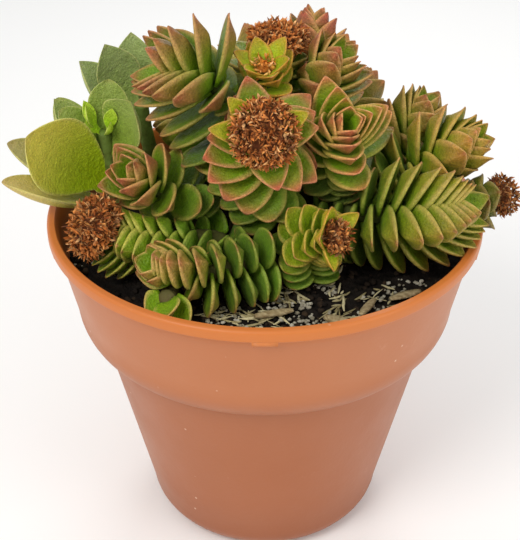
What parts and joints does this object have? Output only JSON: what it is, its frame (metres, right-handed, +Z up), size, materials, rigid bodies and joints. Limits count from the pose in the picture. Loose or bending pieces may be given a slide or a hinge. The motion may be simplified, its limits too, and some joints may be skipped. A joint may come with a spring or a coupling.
{
  "type": "potted succulent",
  "caption": "Round tapered plastic nursery pot of potting mix with a mound of stacked-leaf succulent shoots, dried flower heads and a broad-leaved succulent at one side.",
  "frame": {"origin": "centre of the pot's underside", "axes": "+Z up through the pot's axis, -Y towards the front, where the mix is bare, +X to the right; the broad-leaved plant is at -X"},
  "size_m": [0.1213, 0.105, 0.1384],
  "materials": {
    "pot_plastic": "satin moulded terracotta-coloured plastic",
    "potting_mix": "loose, rough and matte",
    "bark": "rough and fibrous",
    "stem": "matte, woody below",
    "stacked_leaf": "waxy satin green with brown-red keels and pale margins",
    "broad_leaf": "waxy satin grey-green, finely speckled",
    "dried_flower": "dry, matte and papery"
  },
  "bodies": {
    "root": {"pot": "pot_plastic", "soil": "potting_mix", "bark_chip_1": "bark", "bark_chip_2": "bark", "bark_chip_3": "bark", "bark_chip_4": "bark", "bark_chip_5": "bark", "broad_stem_left": "stem", "broad_stem_back": "stem", "broad_leaf_1": "broad_leaf", "broad_leaf_2": "broad_leaf", "broad_leaf_3": "broad_leaf", "broad_leaf_4": "broad_leaf", "broad_leaf_5": "broad_leaf", "broad_leaf_6": "broad_leaf", "broad_leaf_7": "broad_leaf", "broad_leaf_8": "broad_leaf", "broad_leaf_9": "broad_leaf", "broad_leaf_10": "broad_leaf", "back_leaf_1": "broad_leaf", "back_leaf_2": "broad_leaf", "back_leaf_3": "broad_leaf", "back_leaf_4": "broad_leaf", "flower_head_front": "dried_flower", "flower_head_crown": "dried_flower", "flower_head_crown_back": "dried_flower", "flower_head_far_right": "dried_flower", "flower_head_left_low": "dried_flower", "flower_head_front_small": "dried_flower", "flower_head_back_low_left": "dried_flower", "shoot_front": "stacked_leaf", "shoot_upper_left": "stacked_leaf", "shoot_upper_right": "stacked_leaf", "shoot_crown": "stacked_leaf", "shoot_crown_back": "stacked_leaf", "shoot_back_right": "stacked_leaf", "shoot_right_high": "stacked_leaf", "shoot_right_front": "stacked_leaf", "shoot_right_top": "stacked_leaf", "shoot_right_back": "stacked_leaf", "shoot_far_right": "stacked_leaf", "shoot_left_small": "stacked_leaf", "shoot_left_low": "stacked_leaf", "shoot_front_left": "stacked_leaf", "shoot_front_low": "stacked_leaf", "shoot_front_small": "stacked_leaf", "shoot_back": "stacked_leaf", "shoot_back_low_left": "stacked_leaf", "shoot_back_low_right": "stacked_leaf"}
  },
  "joints": []
}
